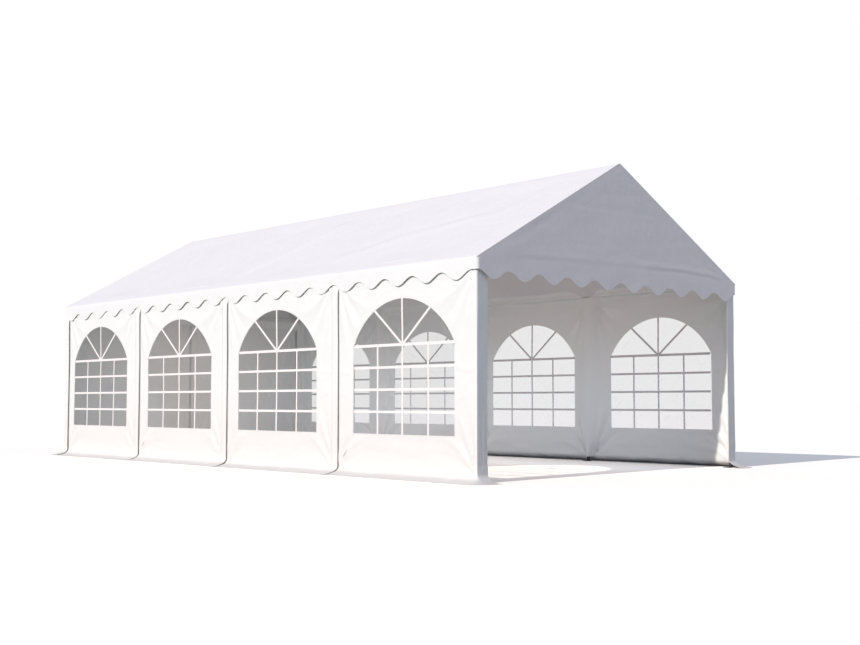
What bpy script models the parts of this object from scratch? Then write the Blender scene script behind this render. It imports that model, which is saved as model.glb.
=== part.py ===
"""Marquee tent, 4 m wide and 8 m long: four bays of steel tube under a sewn cover.

Metres, +Z up. The length runs along Y with the open entrance at -Y, the width runs
along X, and the origin is on the ground in the middle of the tent.
"""
import math

import bmesh
import bpy
from mathutils import Euler, Vector

BAY = 2.0
BAYS = 4
HALF_LENGTH = BAY * BAYS / 2
WALL_X = 1.97
EAVE_HEIGHT = 2.013
RIDGE_HEIGHT = 3.108
COVER_X = 2.005
COVER_Y = 4.035
WALL_TOP = 2.0155

CLOTH = 0.004
FILM = 0.002
TOUCH = 0.0003

TUBE_RADIUS = 0.019
TUBE_SIDES = 16
POST_INSET = 0.055
RAIL_HEIGHT = 2.016
CROSSBAR_HEIGHT = 1.96
FOOT_SIDE = 0.08
FOOT_THICKNESS = 0.005
FOOT_SETBACK = 0.002

BAND_WIDTH = 0.10
BAND_STEP = 0.01
BAND_PROUD = 0.02
UNDERLAP = 0.08
FLAP_REACH = 0.188
FLAP_RADIUS = 0.075
FLAP_ARC_STEPS = 5
CORNER_RADIUS = 0.02
CORNER_STEPS = 4
CORNER_STRIP = 0.10

WINDOW_WIDTH = 1.435
WINDOW_SILL = 0.41
WINDOW_SPRING = 1.267
WINDOW_TOP = 1.70
WINDOW_ARC_STEPS = 18
WINDOW_SHIFT = {-1: 0.06, 1: 0.0}
CUTTER_DEPTH = 0.12

SCALLOP_PITCH = 0.4
SCALLOP_MIDDLE = 1.858
SCALLOP_DEPTH = 0.041
SCALLOP_STEPS = 8

STEEL = ("galvanised_steel", (0.62, 0.63, 0.65), 0.42, 1.0)
WALL_CLOTH = ("white_pvc_wall", (0.86, 0.85, 0.84), 0.55, 0.0)
ROOF_CLOTH = ("white_pvc_roof", (0.84, 0.84, 0.86), 0.5, 0.0)
CLEAR_FILM = ("clear_pvc_film", (0.75, 0.76, 0.77), 0.15, 0.0)

SLOPE = (RIDGE_HEIGHT - EAVE_HEIGHT) / COVER_X
PITCH = math.atan(SLOPE)
TUBE_X = WALL_X - CLOTH - TOUCH - TUBE_RADIUS
TUBE_END_Y = HALF_LENGTH - CLOTH - TOUCH - TUBE_RADIUS
UNDER_ROOF = CLOTH / math.cos(PITCH)
RIDGE_AXIS = RIDGE_HEIGHT - UNDER_ROOF - (TUBE_RADIUS + TOUCH) / math.cos(PITCH)
SEAMS = [-HALF_LENGTH + BAY * i for i in range(BAYS)]
FRAME_Y = [-TUBE_END_Y] + [seam + POST_INSET for seam in SEAMS[1:]] + [TUBE_END_Y]


def clear_scene():
    for item in list(bpy.data.objects):
        bpy.data.objects.remove(item, do_unlink=True)


def make_collection(name):
    collection = bpy.data.collections.new(name)
    bpy.context.scene.collection.children.link(collection)
    return collection


def material(spec):
    name, colour, roughness, metallic = spec
    found = bpy.data.materials.get(name)
    if found:
        return found
    made = bpy.data.materials.new(name)
    made.use_nodes = True
    shader = made.node_tree.nodes["Principled BSDF"]
    shader.inputs["Base Color"].default_value = (*colour, 1.0)
    shader.inputs["Roughness"].default_value = roughness
    shader.inputs["Metallic"].default_value = metallic
    return made


def add_object(name, data, collection, spec=None):
    item = bpy.data.objects.new(name, data)
    collection.objects.link(item)
    if spec:
        data.materials.append(material(spec))
    return item


def tube(name, start, end, collection):
    """Round steel tube between two points on its axis."""
    start, end = Vector(start), Vector(end)
    mesh = bpy.data.meshes.new(name)
    shape = bmesh.new()
    bmesh.ops.create_cone(shape, cap_ends=True, segments=TUBE_SIDES, radius1=TUBE_RADIUS,
                          radius2=TUBE_RADIUS, depth=(end - start).length)
    shape.to_mesh(mesh)
    shape.free()
    mesh.shade_smooth()
    mesh.set_sharp_from_angle(angle=math.radians(40))
    item = add_object(name, mesh, collection, STEEL)
    item.location = (start + end) / 2
    item.rotation_euler = (end - start).to_track_quat("Z", "Y").to_euler()
    return item


def flat_plate(name, outline, thickness, collection, spec=None):
    """Flat sheet cut to an outline, lying in its own XY plane."""
    curve = bpy.data.curves.new(name, "CURVE")
    curve.dimensions = "2D"
    curve.fill_mode = "BOTH"
    curve.extrude = thickness / 2
    spline = curve.splines.new("POLY")
    spline.points.add(len(outline) - 1)
    for point, (u, v) in zip(spline.points, outline):
        point.co = (u, v, 0.0, 1.0)
    spline.use_cyclic_u = True
    return add_object(name, curve, collection, spec)


def as_mesh(item):
    """Turn a curve object into a welded mesh object in the same place."""
    collection = item.users_collection[0]
    bpy.context.view_layer.update()
    evaluated = item.evaluated_get(bpy.context.evaluated_depsgraph_get())
    mesh = bpy.data.meshes.new_from_object(evaluated)
    shape = bmesh.new()
    shape.from_mesh(mesh)
    bmesh.ops.remove_doubles(shape, verts=shape.verts, dist=0.00001)
    shape.to_mesh(mesh)
    shape.free()
    name, place = item.name, item.matrix_world.copy()
    bpy.data.objects.remove(item, do_unlink=True)
    made = add_object(name, mesh, collection)
    made.matrix_world = place
    return made


def as_cutter(item):
    item.hide_render = True
    item.display_type = "WIRE"
    return item


def boolean(item, other, operation):
    change = item.modifiers.new(operation.title(), "BOOLEAN")
    change.operation = operation
    change.solver = "EXACT"
    change.object = other


def add_posts(collection, cutters):
    """Ten posts, each welded to a square foot plate that stops just short of the tube's outer side."""
    foot_inset = FOOT_SIDE / 2 - TUBE_RADIUS + FOOT_SETBACK
    for side, label in ((-1, "left"), (1, "right")):
        for number, y in enumerate(FRAME_Y, 1):
            name = f"{label}_post_{number}"
            top = RAIL_HEIGHT - TUBE_RADIUS - TOUCH
            post = tube(name, (side * TUBE_X, y, FOOT_THICKNESS / 2), (side * TUBE_X, y, top), collection)
            inward_y = 0.0 if abs(y) < TUBE_END_Y else -math.copysign(foot_inset, y)
            bpy.ops.mesh.primitive_cube_add(size=1, location=(side * (TUBE_X - foot_inset), y + inward_y,
                                                              FOOT_THICKNESS / 2))
            foot = as_cutter(bpy.context.object)
            foot.name = f"{name}_foot"
            foot.scale = (FOOT_SIDE, FOOT_SIDE, FOOT_THICKNESS)
            foot.users_collection[0].objects.unlink(foot)
            cutters.objects.link(foot)
            boolean(post, foot, "UNION")


def add_top_frame(collection):
    """Eave rails on the posts, the ridge tube, the rafters between them and the rear crossbar."""
    ridge_end = TUBE_END_Y + TUBE_RADIUS
    gap = TUBE_RADIUS + 2 * TOUCH
    foot_of_rafter = Vector((TUBE_X, 0, RIDGE_AXIS - SLOPE * TUBE_X))
    head_of_rafter = Vector((0, 0, RIDGE_AXIS))
    along = (head_of_rafter - foot_of_rafter).normalized()
    for side, label in ((-1, "left"), (1, "right")):
        tube(f"{label}_eave_rail", (side * TUBE_X, -TUBE_END_Y, RAIL_HEIGHT),
             (side * TUBE_X, TUBE_END_Y, RAIL_HEIGHT), collection)
        for number, y in enumerate(FRAME_Y, 1):
            low = foot_of_rafter + along * gap
            high = head_of_rafter - along * gap
            tube(f"{label}_rafter_{number}", (side * low.x, y, low.z), (side * high.x, y, high.z), collection)
    tube("ridge_tube", (0, -ridge_end, RIDGE_AXIS), (0, ridge_end, RIDGE_AXIS), collection)
    bar_end = TUBE_X - gap
    tube("rear_crossbar", (-bar_end, TUBE_END_Y, CROSSBAR_HEIGHT), (bar_end, TUBE_END_Y, CROSSBAR_HEIGHT),
         collection)


def wall_profile(band):
    """Outline of the cloth seen end on, from its top edge down and out over the ground.

    Each point is (distance out from the wall plane, height). A band of 1 is the overlap that
    stands proud of the next panel and whose flap lies on that panel's flap.
    """
    out = BAND_PROUD * band
    base = CLOTH + (CLOTH + TOUCH) * band
    points = [(out, WALL_TOP), (out, base + FLAP_RADIUS)]
    for step in range(1, FLAP_ARC_STEPS + 1):
        turn = math.radians(90) * step / FLAP_ARC_STEPS
        points.append((out + FLAP_RADIUS * (1 - math.cos(turn)), base + FLAP_RADIUS * (1 - math.sin(turn))))
    points.append((FLAP_REACH, base))
    return points


def wall_panel(name, stations, collection):
    """Wall cloth swept through stations of (x, y, outward direction, band), counterclockwise."""
    mesh = bpy.data.meshes.new(name)
    rows = [wall_profile(band) for *_, band in stations]
    shape = bmesh.new()
    bmesh.ops.create_grid(shape, x_segments=len(stations) - 1, y_segments=len(rows[0]) - 1, size=1)
    shape.verts.ensure_lookup_table()
    for index, corner in enumerate(shape.verts):
        row, place = divmod(index, len(stations))
        x, y, (out_x, out_y), _ = stations[place]
        out, height = rows[place][row]
        corner.co = (x + out_x * out, y + out_y * out, height)
    shape.normal_update()
    bmesh.ops.reverse_faces(shape, faces=shape.faces)
    shape.to_mesh(mesh)
    shape.free()
    item = add_object(name, mesh, collection, WALL_CLOTH)
    thick = item.modifiers.new("Solidify", "SOLIDIFY")
    thick.thickness = CLOTH
    thick.offset = -1
    thick.use_even_offset = True
    return item


def corner_stations(side_x, side_y, band):
    """Quarter turn round a tent corner, from the X side's direction to the Y side's."""
    centre_x = side_x * (WALL_X - CORNER_RADIUS)
    centre_y = side_y * (HALF_LENGTH - CORNER_RADIUS)
    stations = []
    for step in range(CORNER_STEPS + 1):
        turn = math.radians(90) * step / CORNER_STEPS
        out = (side_x * math.cos(turn), side_y * math.sin(turn))
        stations.append((centre_x + CORNER_RADIUS * out[0], centre_y + CORNER_RADIUS * out[1], out, band))
    return stations


def window_outline(inset=0.0):
    """Arched window, with its middle at 0 along the wall."""
    half = WINDOW_WIDTH / 2
    rise = WINDOW_TOP - WINDOW_SPRING
    radius = (half * half + rise * rise) / (2 * rise)
    centre = WINDOW_TOP - radius
    half -= inset
    radius -= inset
    spread = math.asin(half / radius)
    points = [(-half, WINDOW_SILL + inset), (half, WINDOW_SILL + inset)]
    for step in range(WINDOW_ARC_STEPS + 1):
        turn = spread * (1 - 2 * step / WINDOW_ARC_STEPS)
        points.append((radius * math.sin(turn), centre + radius * math.cos(turn)))
    return points


def stand_along_wall(item, side, y, x):
    """Turn a flat plate upright in a long wall, its outline running along Y."""
    item.rotation_euler = Euler((math.radians(90), 0, math.radians(90)))
    item.location = (side * x, y, 0)
    bpy.context.view_layer.update()


def add_long_walls(collection, cutters):
    """Four panels a side, each overlapping the one in front of it and closed by a clear window."""
    for side, label in ((-1, "left"), (1, "right")):
        out = (side, 0)
        for number, seam in enumerate(SEAMS, 1):
            rear = seam + BAY + UNDERLAP
            if number == BAYS:
                rear = HALF_LENGTH - CORNER_RADIUS
            if number == 1:
                strip_end = WALL_X - CORNER_STRIP
                stations = [(side * strip_end, -HALF_LENGTH, (0, -1), 0)]
                stations += corner_stations(side, -1, 0)[::-1]
            else:
                stations = [(side * WALL_X, seam, out, 1), (side * WALL_X, seam + BAND_WIDTH, out, 1),
                            (side * WALL_X, seam + BAND_WIDTH + BAND_STEP, out, 0)]
            stations.append((side * WALL_X, rear, out, 0))
            if side < 0:
                stations.reverse()
            panel = wall_panel(f"{label}_wall_{number}", stations, collection)
            middle = seam + BAY / 2 + WINDOW_SHIFT[side]
            cutter = flat_plate(f"{label}_window_cutter_{number}", window_outline(), CUTTER_DEPTH, cutters)
            stand_along_wall(cutter, side, middle, WALL_X)
            boolean(panel, as_cutter(as_mesh(cutter)), "DIFFERENCE")
            film = flat_plate(f"{label}_window_{number}", window_outline(TOUCH), FILM, collection, CLEAR_FILM)
            stand_along_wall(film, side, middle, WALL_X - CLOTH / 2)


def add_rear_wall(collection):
    """Two panels that meet under an overlap band and wrap round onto the long walls."""
    out = (0, 1)
    strip = HALF_LENGTH - CORNER_STRIP
    turn_in = WALL_X - CORNER_STRIP
    half_band = (BAND_WIDTH + BAND_STEP) / 2
    right = [(WALL_X, strip, (1, 0), 1)] + corner_stations(1, 1, 1)
    right += [(turn_in + BAND_STEP, HALF_LENGTH, out, 1), (turn_in, HALF_LENGTH, out, 0),
              (half_band - UNDERLAP, HALF_LENGTH, out, 0)]
    wall_panel("rear_wall_right", right, collection)
    left = [(half_band, HALF_LENGTH, out, 1), (BAND_STEP - half_band, HALF_LENGTH, out, 1),
            (-half_band, HALF_LENGTH, out, 0), (-turn_in, HALF_LENGTH, out, 0),
            (-turn_in - BAND_STEP, HALF_LENGTH, out, 1)]
    left += corner_stations(-1, 1, 1)[::-1] + [(-WALL_X, strip, (-1, 0), 1)]
    wall_panel("rear_wall_left", left, collection)


def add_roof(collection):
    """Roof cloth over both slopes in one piece, its ends cut upright at the eaves."""
    half = [(0.0, RIDGE_HEIGHT), (COVER_X, EAVE_HEIGHT)]
    under = [(COVER_X, EAVE_HEIGHT - UNDER_ROOF), (0.0, RIDGE_HEIGHT - UNDER_ROOF)]
    outline = half + under + [(-COVER_X, EAVE_HEIGHT - UNDER_ROOF), (-COVER_X, EAVE_HEIGHT)]
    roof = flat_plate("roof_cover", outline, 2 * COVER_Y, collection, ROOF_CLOTH)
    roof.rotation_euler = Euler((math.radians(90), 0, 0))


def scallop(along):
    """Height of the valance's lower edge, with a high point at every multiple of the pitch."""
    return SCALLOP_MIDDLE + SCALLOP_DEPTH * math.cos(2 * math.pi * along / SCALLOP_PITCH)


def scalloped_edge(half):
    """Points along the lower edge, from -half to half."""
    step = SCALLOP_PITCH / SCALLOP_STEPS
    count = math.floor(half / step)
    places = [-half] + [step * i for i in range(-count, count + 1)] + [half]
    return [(along, scallop(along)) for along in places if abs(along) <= half]


def add_valances(collection):
    """Scalloped strips along both eaves, between the gables."""
    half = COVER_Y - CLOTH - TOUCH
    top = EAVE_HEIGHT - UNDER_ROOF - TOUCH
    outline = scalloped_edge(half) + [(half, top), (-half, top)]
    for side, label in ((-1, "left"), (1, "right")):
        strip = flat_plate(f"{label}_valance", outline, CLOTH, collection, ROOF_CLOTH)
        stand_along_wall(strip, side, 0, COVER_X - CLOTH / 2)


def add_gables(collection):
    """Gable triangles whose lower edge is the scalloped valance."""
    top = UNDER_ROOF + TOUCH / math.cos(PITCH)
    outline = scalloped_edge(COVER_X) + [(COVER_X, EAVE_HEIGHT - top), (0, RIDGE_HEIGHT - top),
                                         (-COVER_X, EAVE_HEIGHT - top)]
    for end, label in ((-1, "front"), (1, "rear")):
        gable = flat_plate(f"{label}_gable", outline, CLOTH, collection, ROOF_CLOTH)
        gable.rotation_euler = Euler((math.radians(90), 0, 0))
        gable.location = (0, end * (COVER_Y - CLOTH / 2), 0)


def main():
    clear_scene()
    tent = make_collection("marquee_tent")
    cutters = make_collection("cutters")
    add_posts(tent, cutters)
    add_top_frame(tent)
    add_long_walls(tent, cutters)
    add_rear_wall(tent)
    add_roof(tent)
    add_valances(tent)
    add_gables(tent)


main()
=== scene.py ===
"""Looks of the marquee tent: coated cloth, clear windows, pole pockets, steel tube, floor and light."""

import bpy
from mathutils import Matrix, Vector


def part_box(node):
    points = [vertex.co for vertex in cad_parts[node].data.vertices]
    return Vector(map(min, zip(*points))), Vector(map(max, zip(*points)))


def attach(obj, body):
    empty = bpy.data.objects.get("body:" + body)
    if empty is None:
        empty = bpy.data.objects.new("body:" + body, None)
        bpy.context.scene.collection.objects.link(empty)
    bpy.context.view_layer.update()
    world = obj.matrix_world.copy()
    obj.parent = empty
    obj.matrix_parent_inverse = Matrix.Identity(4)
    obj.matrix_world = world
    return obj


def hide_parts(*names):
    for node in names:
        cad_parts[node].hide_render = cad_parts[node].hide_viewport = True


bl_info = {
    "name": "Marquee Tent",
    "version": (1, 0, 0),
    "blender": (4, 5, 0),
    "location": "3D View > Sidebar > Marquee",
    "description": "Dresses a party marquee in coated cloth, clear windows and steel tube",
    "category": "Object",
}

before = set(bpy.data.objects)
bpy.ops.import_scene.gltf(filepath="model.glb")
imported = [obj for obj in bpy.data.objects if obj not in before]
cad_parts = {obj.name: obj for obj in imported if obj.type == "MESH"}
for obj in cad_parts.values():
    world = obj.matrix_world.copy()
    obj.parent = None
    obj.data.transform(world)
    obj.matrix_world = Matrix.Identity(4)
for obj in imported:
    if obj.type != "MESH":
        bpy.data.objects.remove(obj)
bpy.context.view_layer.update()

import math

import bpy
import numpy as np
from bpy.props import FloatProperty, FloatVectorProperty, IntProperty, PointerProperty
from mathutils import Vector


def box_of(node):
    low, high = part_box(node)
    return np.array(low), np.array(high)


def middle_of(node):
    low, high = box_of(node)
    return (low + high) / 2


SIDES = {"left": -1, "right": 1}
HALF_LENGTH = 4.0
# Where along Y the front edge of each wall panel hangs.
SEAMS = [-4.0, -2.034, -0.012, 1.972]
# Outer face of the long walls' cloth.
WALL_X = 1.982
WALL_TOP = box_of("right_wall_2")[1][2]
COVER_X, COVER_Y, RIDGE_HEIGHT = box_of("roof_cover")[1]
EAVE_HEIGHT = 2.013
SLOPE = (RIDGE_HEIGHT - EAVE_HEIGHT) / COVER_X
PITCH = math.atan(SLOPE)
RAFTER_LENGTH = COVER_X / math.cos(PITCH)

# Thickness of the cloth and of the windows' film.
CLOTH = 0.0012
FILM = 0.0005
WHITE = (1.0, 1.0, 1.0)
VINYL_IOR = 1.53

RAIL_X, _, RAIL_HEIGHT = middle_of("right_eave_rail")
TUBE_RADIUS = box_of("right_eave_rail")[1][2] - RAIL_HEIGHT
RIDGE_AXIS = middle_of("ridge_tube")[2]
CROSSBAR_HEIGHT = middle_of("rear_crossbar")[2]
RAFTER_Y = [middle_of(f"right_rafter_{n}")[1] for n in range(1, 6)]

# An overlap band rises off the wall within BAND_EASE. On the ground it lies one layer higher.
BAND_WIDTH = 0.10
BAND_EASE = 0.012
BAND_PROUD = 0.02
BAND_LIFT = 0.0035
UNDERLAP = 0.08
# A ground flap curves outward along a quarter of an ellipse that starts at the height BEND_START.
FLAP_REACH = 0.184
FLAP_DROP = 0.078
BEND_START = 0.079
FLAP_TURNS = np.linspace(0.0, math.pi / 2, 33)
FLAP_RUNS = FLAP_REACH * (1 - np.cos(FLAP_TURNS))
FLAP_FALLS = FLAP_DROP * np.sin(FLAP_TURNS)
FLAP_LENGTHS = np.concatenate([[0], np.cumsum(np.hypot(np.diff(FLAP_RUNS), np.diff(FLAP_FALLS)))])
FLAP_TIP = BEND_START - FLAP_LENGTHS[-1]
CORNER_RADIUS = 0.008
# Width of the strips that wrap round the corners, how far the free edge of a front one turns inward,
# and how far the cloth of the right front corner stands out.
CORNER_STRIP = {"left": 0.142, "right": 0.125}
REAR_STRIP = 0.10
STRIP_TURN = {"left": 0.010, "right": -0.012}
CORNER_BULGE = 0.02
VALANCE_CORNER = 0.025
VALANCE_TUCK = 0.008

# Height at which the windows' arches spring.
WINDOW_SPRING = 1.262
# How far the front and the rear edge of a window stand off its solid, along Y.
WINDOW_SHIFT = {("left", 1): (-0.054, -0.037), ("left", 4): (-0.028, -0.026)}
# The cross bars start short of the window's edge, and the uprights stand a little aside of their places.
BAR_THICKNESS = 0.0008
BAR_SHORT = 0.012
BAR_ASIDE = {"left": 0.012, "right": 0.016}
FAN_ANGLE = math.radians(40)
STRAP_STEP = 0.03
FILM_STEP = 0.025
# An opening is cut a little wider than the film's solid.
OPENING_EASE = 0.0003
# Heights from which the folds spread beside a seam, and how far the thread lies inside a band's edge.
SEAM_TOP = 1.97
SEAM_FOOT = 0.03
STITCH_INSET = 0.012
# The folds of the right walls are deeper than those of the left ones.
FOLD_SHARE = {"left": 1.0, "right": 1.5}

# The ground flaps carry painted shade, as they face up away from the low key light, and the walls are
# darker towards the bottom over their lowest metre.
# The roof's slopes are painted darker than its side valances, which carry a painted highlight where their
# hanging cloth faces the key light.
WALL_FLAP_SHADE_AND_FOOT_DARKENING = [("Y", -0.02, 0.055, (0.84, 0.83, 0.84)), ("Y", 0.0, 1.1, (0.95, 0.92, 0.912))]
# Share of the roof colour that the slopes keep; the rest is the side valances' painted highlight. The
# gables take the slopes' colour.
SLOPE_SHARE_UNDER_VALANCE_HIGHLIGHT = (0.952, 0.922, 0.948)
ROOF_TURN = math.radians(45)
ROOF_VALANCE_PAINTED_HIGHLIGHT = [("X", RAFTER_LENGTH - 0.01, RAFTER_LENGTH + 0.01, SLOPE_SHARE_UNDER_VALANCE_HIGHLIGHT)]

# The valance's lower edge is a wave about SCALLOP_MIDDLE, shifted along the eaves by SCALLOP_SHIFT.
SCALLOP_PITCH = 0.4
SCALLOP_MIDDLE = 1.858
SCALLOP_DEPTH = 0.041
SCALLOP_SHIFT = 0.043

# The photo's camera, fitted to the tent.
CAMERA_PLACE = (-9.5504, -11.6869, 0.7217)
CAMERA_HEADING = math.radians(42.351)
CAMERA_RISE = math.radians(3.7138)
CAMERA_FOCAL_PIXELS = 1218.33
PHOTO_WIDTH = 860


def hex_colour(text):
    """Linear RGB of an sRGB hex value such as #F4F2F0."""
    values = [int(text[i:i + 2], 16) / 255 for i in (1, 3, 5)]
    return tuple(c / 12.92 if c <= 0.04045 else ((c + 0.055) / 1.055) ** 2.4 for c in values)


def length_setting(name, description, default, low, high):
    return FloatProperty(name=name, description=description, default=default, min=low, max=high,
                         unit="LENGTH")


def power_setting(name, description, default):
    return FloatProperty(name=name, description=description, default=default, min=0.0, max=500.0,
                         unit="POWER")


def share_setting(name, description, default):
    return FloatProperty(name=name, description=description, default=default, min=0.0, max=1.0,
                         subtype="FACTOR")


def colour_setting(name, description, value):
    return FloatVectorProperty(name=name, description=description, default=hex_colour(value), size=3,
                               subtype="COLOR")


class ClothSettings(bpy.types.PropertyGroup):
    """Sizes and colours of the coated cloth."""
    grid: length_setting("Grid", "Spacing of the cloth's mesh lines", 0.022, 0.01, 0.1)
    fold_depth: length_setting("Fold depth", "Height of the folds at the seams", 0.012, 0.0, 0.02)
    ripple: length_setting("Ripple", "Height of the loose ripples between the folds", 0.004, 0.0, 0.02)
    sag: length_setting("Roof sag", "How far the roof cloth dips between two rafters", 0.012, 0.0, 0.05)
    wall_colour: colour_setting("Wall", "Linear colour of the wall cloth", "#ECEEEB")
    # The roof colour is the side valances' colour with their painted highlight; the slopes keep a share of
    # it.
    roof_colour: colour_setting("Roof", "Linear colour of the roof cloth", "#EBEDEB")


class WindowSettings(bpy.types.PropertyGroup):
    """Sizes of the clear windows and the white bars on them."""
    bar_width: length_setting("Bar width", "Width of a glazing bar", 0.024, 0.005, 0.06)
    haze: share_setting("Haze", "How much the film veils what is behind it", 0.115)
    left_haze: share_setting("Left haze", "The same for the clearer film of the left windows", 0.07)
    rows: IntProperty(name="Rows", description="Panes up to the arch's spring", default=4, min=1, max=8)
    columns: IntProperty(name="Columns", description="Panes across the window", default=4, min=1, max=8)


class StageSettings(bpy.types.PropertyGroup):
    """Light and floor of the studio."""
    key: FloatProperty(name="Key", description="Strength of the key light", default=3.12, min=0.0, max=20.0)
    key_colour: colour_setting("Key colour", "Colour of the key light", "#FFF6F0")
    sky: colour_setting("Sky", "Soft light from above", "#ADB4C5")
    ceiling_front: power_setting("Ceiling, front", "Power of the soft light under the front ridge", 14.3)
    ceiling_rear: power_setting("Ceiling, rear", "Power of the soft light under the rear ridge", 29.0)
    facing_roof: power_setting("Facing roof", "Power of the soft light that faces the roof's inside", 9.0)
    facing_floor: power_setting("Facing floor", "Power of the soft light that faces the floor", 4.6)
    ceiling_colour: colour_setting("Ceiling colour", "Colour of the front and the facing light", "#FFDAC6")
    rear_colour: colour_setting("Rear colour", "Colour of the light under the rear ridge", "#FFF4EE")
    low: power_setting("Low", "Power of each soft light that faces the foot of a long wall", 11.0)
    low_colour: colour_setting("Low colour", "Colour of the lights facing walls and floor", "#D2E8FF")
    floor_size: length_setting("Floor", "Length of the floor's side", 160.0, 10.0, 500.0)


def smooth(value):
    value = np.clip(value, 0.0, 1.0)
    return value * value * value * (value * (value * 6 - 15) + 10)


def between(low, high, value):
    """Smooth step from 0 at low to 1 at high."""
    return smooth((value - low) / (high - low))


def cloud(u, v, size, seed):
    """Smooth random relief from -1 to 1, its bumps about size[0] by size[1] metres."""
    count = 61
    lattice = np.random.default_rng(seed).uniform(-1, 1, (count, count))
    x = u / size[0] + 17.3
    y = v / size[1] + 29.7
    i = np.floor(x).astype(int)
    j = np.floor(y).astype(int)
    fx = smooth(x - i)
    fy = smooth(y - j)
    i0, i1, j0, j1 = i % count, (i + 1) % count, j % count, (j + 1) % count
    low = lattice[i0, j0] * (1 - fx) + lattice[i1, j0] * fx
    high = lattice[i0, j1] * (1 - fx) + lattice[i1, j1] * fx
    return low * (1 - fy) + high * fy


def crumple(u, v, size, seed, octaves=3):
    """Relief of several sizes, turned against each other so that no grid shows."""
    total = 0.0
    strength = 1.0
    for octave in range(octaves):
        turn = 0.6 + 1.1 * octave
        across = u * math.cos(turn) - v * math.sin(turn)
        along = u * math.sin(turn) + v * math.cos(turn)
        total = total + strength * cloud(across, along, (size, size), seed + octave)
        size *= 0.5
        strength *= 0.5
    return total / 1.75


def crease(u, v, points, width, depth):
    """A fold along a line of points: raised on one side and sunk on the other, and fading at its ends."""
    nearest = np.full(np.shape(u), 1e9)
    side = np.zeros(np.shape(u))
    fade = np.zeros(np.shape(u))
    lengths = [math.dist(a, b) for a, b in zip(points, points[1:])]
    total = sum(lengths)
    done = 0.0
    for (ax, ay), (bx, by), length in zip(points, points[1:], lengths):
        tx, ty = (bx - ax) / length, (by - ay) / length
        along = np.clip((u - ax) * tx + (v - ay) * ty, 0, length)
        dx = u - ax - tx * along
        dy = v - ay - ty * along
        away = np.hypot(dx, dy)
        closer = away < nearest
        share = (done + along) / total
        nearest = np.where(closer, away, nearest)
        side = np.where(closer, np.sign(tx * dy - ty * dx), side)
        fade = np.where(closer, between(0.0, 0.22, share) * between(0.0, 0.22, 1 - share), fade)
        done += length
    x = nearest / width
    return depth * fade * (1.3 * side * x * np.exp(-x * x) + 0.7 * np.exp(-x * x * 2.2))


def creases(u, v, table):
    """The creases of a table of (points, width, depth)."""
    return sum(crease(u, v, *row) for row in table)


def fan(u, v, root, up, folds, inner, outer):
    """Folds that spread from one point. Each fold is (angle from the seam, angular width, height)."""
    du = u - root[0]
    dv = (v - root[1]) * up
    away = np.hypot(du, dv)
    angle = np.arctan2(du, dv)
    reach = between(inner * 0.3, inner, away) * (1 - between(inner, outer, away))
    total = 0.0
    for middle, width, height in folds:
        bend = middle * (1 + 0.9 * away)
        total = total + height * np.exp(-((angle - bend) / width) ** 2)
    return total * reach


class Course:
    """A line in plan with rounded corners, walked so that the outside is on its right."""

    def __init__(self, corners, radius):
        self.runs = []
        start = np.array(corners[0], float)
        length = 0.0
        for index in range(1, len(corners)):
            corner = np.array(corners[index], float)
            heading = (corner - start) / np.linalg.norm(corner - start)
            turns = index < len(corners) - 1
            stop = corner - heading * radius if turns else corner
            run = np.linalg.norm(stop - start)
            outward = np.array((heading[1], -heading[0]))
            self.runs.append((length, run, start, heading, outward, 0.0))
            length += run
            if turns:
                centre = stop - outward * radius
                arc = radius * math.pi / 2
                self.runs.append((length, arc, centre, heading, outward, radius))
                length += arc
                start = centre + heading * radius
        self.length = length

    def at(self, s):
        """Places and outward directions at distances s along the line."""
        place = np.zeros((len(s), 2))
        out = np.zeros((len(s), 2))
        for index, (begin, run, origin, heading, outward, radius) in enumerate(self.runs):
            low = -np.inf if index == 0 else begin
            high = np.inf if index == len(self.runs) - 1 else begin + run
            here = (s >= low) & (s <= high)
            along = (s[here] - begin)[:, None]
            if radius:
                turn = along / radius
                facing = outward * np.cos(turn) + heading * np.sin(turn)
                place[here] = origin + facing * radius
                out[here] = facing
            else:
                place[here] = origin + heading * along
                out[here] = outward
        return place, out

    def where(self, x, y):
        """Distance along the line of the point on a straight run that is nearest to (x, y)."""
        best = None
        for begin, run, origin, heading, _, radius in self.runs:
            if radius:
                continue
            offset = np.array((x, y)) - origin
            along = float(offset @ heading)
            away = float(np.linalg.norm(offset - heading * along))
            miss = away + max(0.0, -along, along - run)
            if best is None or miss < best[0]:
                best = (miss, begin + along)
        return best[1]


def lines(marks, step):
    """Mesh lines through every mark, with even spaces of at most step between them."""
    marks = sorted(set(round(float(mark), 6) for mark in marks))
    out = [marks[0]]
    for low, high in zip(marks, marks[1:]):
        count = max(1, math.ceil((high - low) / step - 1e-6))
        out.extend(low + (high - low) * (i + 1) / count for i in range(count))
    return np.array(out)


def link(item):
    bpy.context.scene.collection.objects.link(item)
    return item


def sharpen_rim(mesh):
    """Marks the sheet's free edges sharp, so that its cut edge doesn't round the shading of its face."""
    used = np.zeros(len(mesh.edges), int)
    edge_of = np.zeros(len(mesh.loops), int)
    mesh.loops.foreach_get("edge_index", edge_of)
    np.add.at(used, edge_of, 1)
    mesh.edges.foreach_set("use_edge_sharp", used == 1)


def add_mesh(name, points, faces, material):
    mesh = bpy.data.meshes.new(name)
    mesh.from_pydata(points.tolist(), [], np.asarray(faces).tolist())
    mesh.materials.append(material)
    return link(bpy.data.objects.new(name, mesh))


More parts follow.
